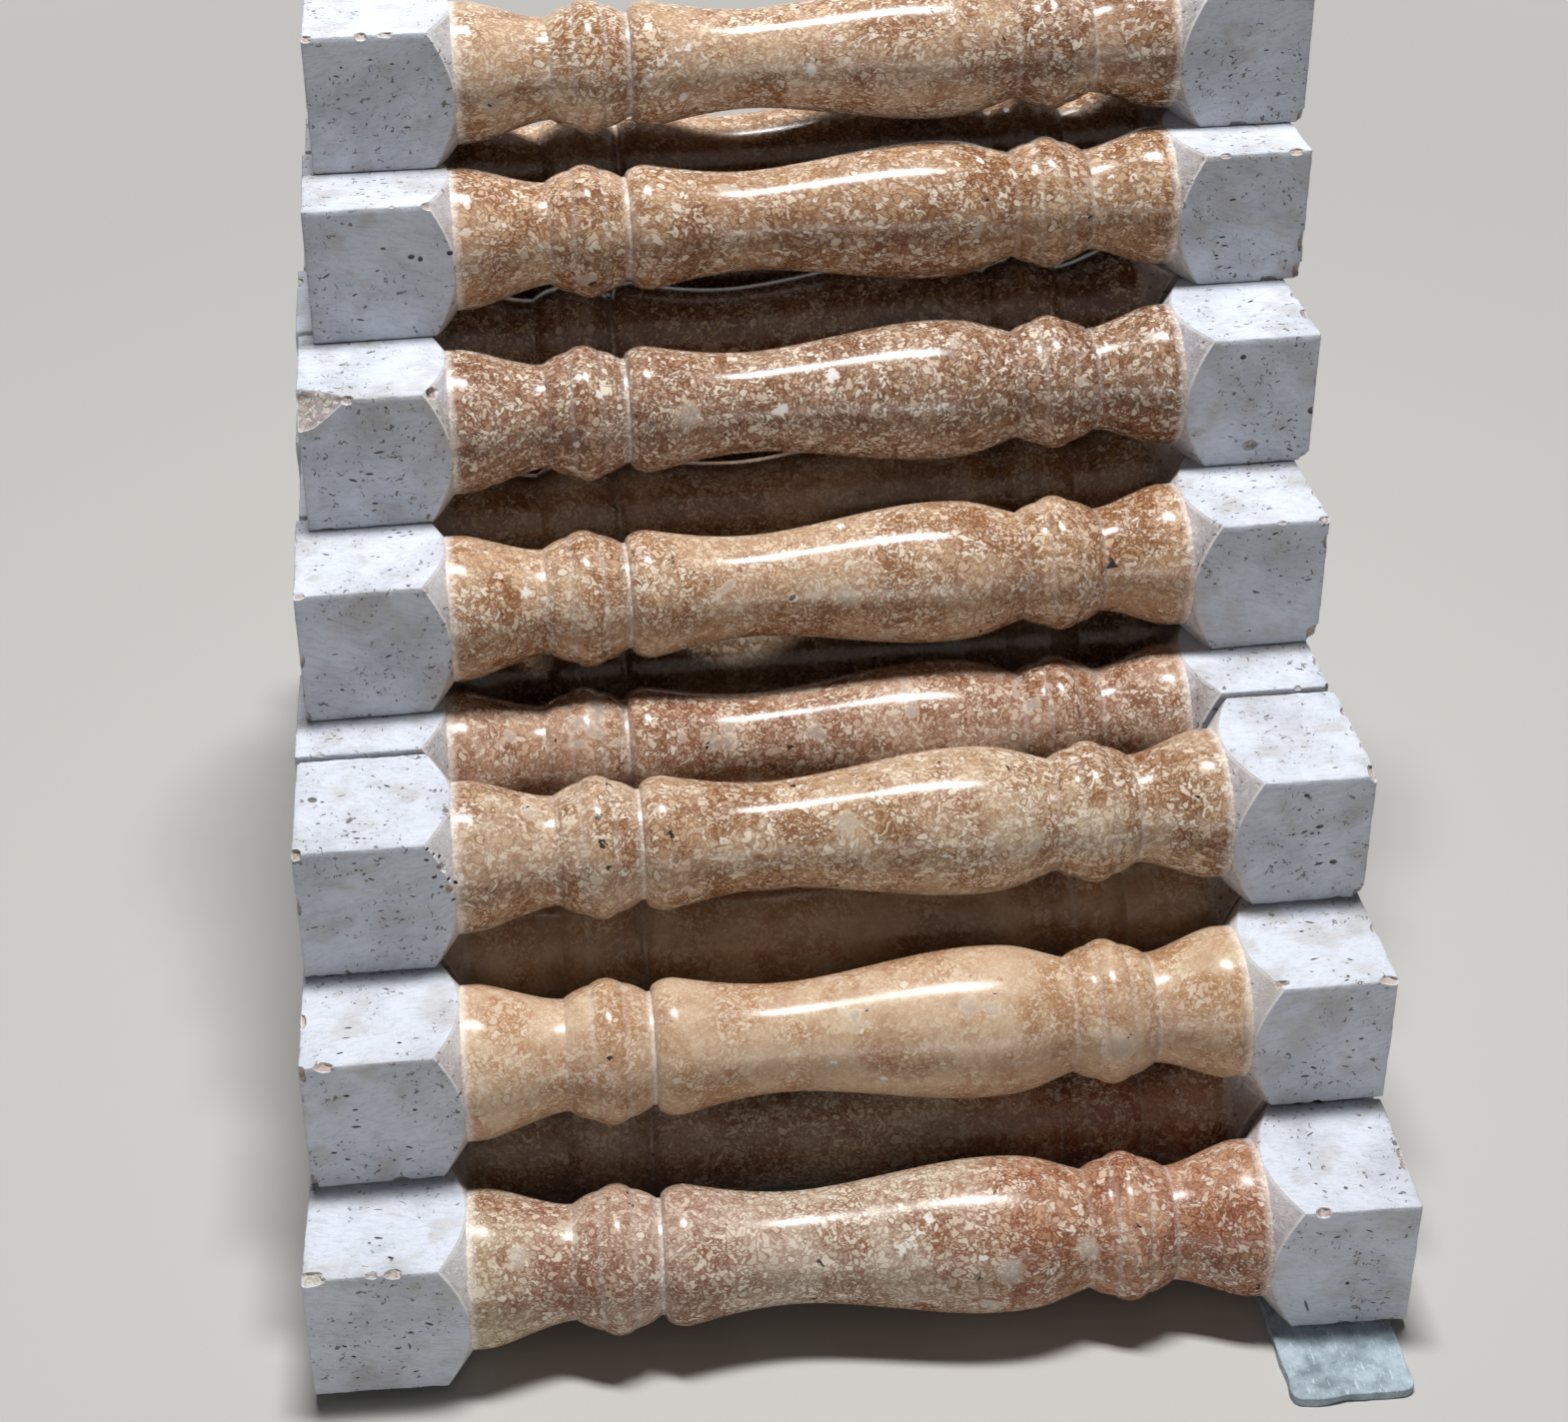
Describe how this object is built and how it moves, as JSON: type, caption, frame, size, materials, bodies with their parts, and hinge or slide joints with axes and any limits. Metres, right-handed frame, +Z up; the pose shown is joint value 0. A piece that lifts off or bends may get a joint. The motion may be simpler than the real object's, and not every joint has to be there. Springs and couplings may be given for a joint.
{
  "type": "stack of turned stone balusters",
  "caption": "Stack of loose turned stone balusters with square end blocks, laid on their sides in courses stepped back from the front, on flat stone packer strips.",
  "frame": {"origin": "middle of the underside of the stack, on the plane that the packer strips rest on", "axes": "+Z up; +X along the balusters, from their top blocks to their base blocks; +Y from the stepped front of the stack to its back"},
  "size_m": [0.7378, 0.93, 0.706],
  "materials": {
    "travertine_course_1": "polished",
    "travertine_course_2": "polished",
    "travertine_course_3": "polished",
    "travertine_course_4": "polished",
    "travertine_course_5": "polished",
    "travertine_course_6": "polished",
    "travertine_course_7": "polished",
    "packer_stone": "matte"
  },
  "bodies": {
    "root": {"course_1_baluster_1": "travertine_course_1", "course_1_baluster_2": "travertine_course_1", "course_1_baluster_3": "travertine_course_1", "course_1_baluster_4": "travertine_course_1", "course_1_baluster_5": "travertine_course_1", "course_1_baluster_6": "travertine_course_1", "course_1_baluster_7": "travertine_course_1", "course_1_baluster_8": "travertine_course_1", "course_2_baluster_1": "travertine_course_2", "course_2_baluster_2": "travertine_course_2", "course_2_baluster_3": "travertine_course_2", "course_2_baluster_4": "travertine_course_2", "course_2_baluster_5": "travertine_course_2", "course_2_baluster_6": "travertine_course_2", "course_2_baluster_7": "travertine_course_2", "course_3_baluster_1": "travertine_course_3", "course_3_baluster_2": "travertine_course_3", "course_3_baluster_3": "travertine_course_3", "course_3_baluster_4": "travertine_course_3", "course_3_baluster_5": "travertine_course_3", "course_3_baluster_6": "travertine_course_3", "course_4_baluster_1": "travertine_course_4", "course_4_baluster_2": "travertine_course_4", "course_4_baluster_3": "travertine_course_4", "course_4_baluster_4": "travertine_course_4", "course_5_baluster_1": "travertine_course_5", "course_5_baluster_2": "travertine_course_5", "course_5_baluster_3": "travertine_course_5", "course_6_baluster_1": "travertine_course_6", "course_6_baluster_2": "travertine_course_6", "course_7_baluster_1": "travertine_course_7", "packer_left_back": "packer_stone", "packer_left_front": "packer_stone", "packer_right_back": "packer_stone", "packer_right_front": "packer_stone"}
  },
  "joints": []
}
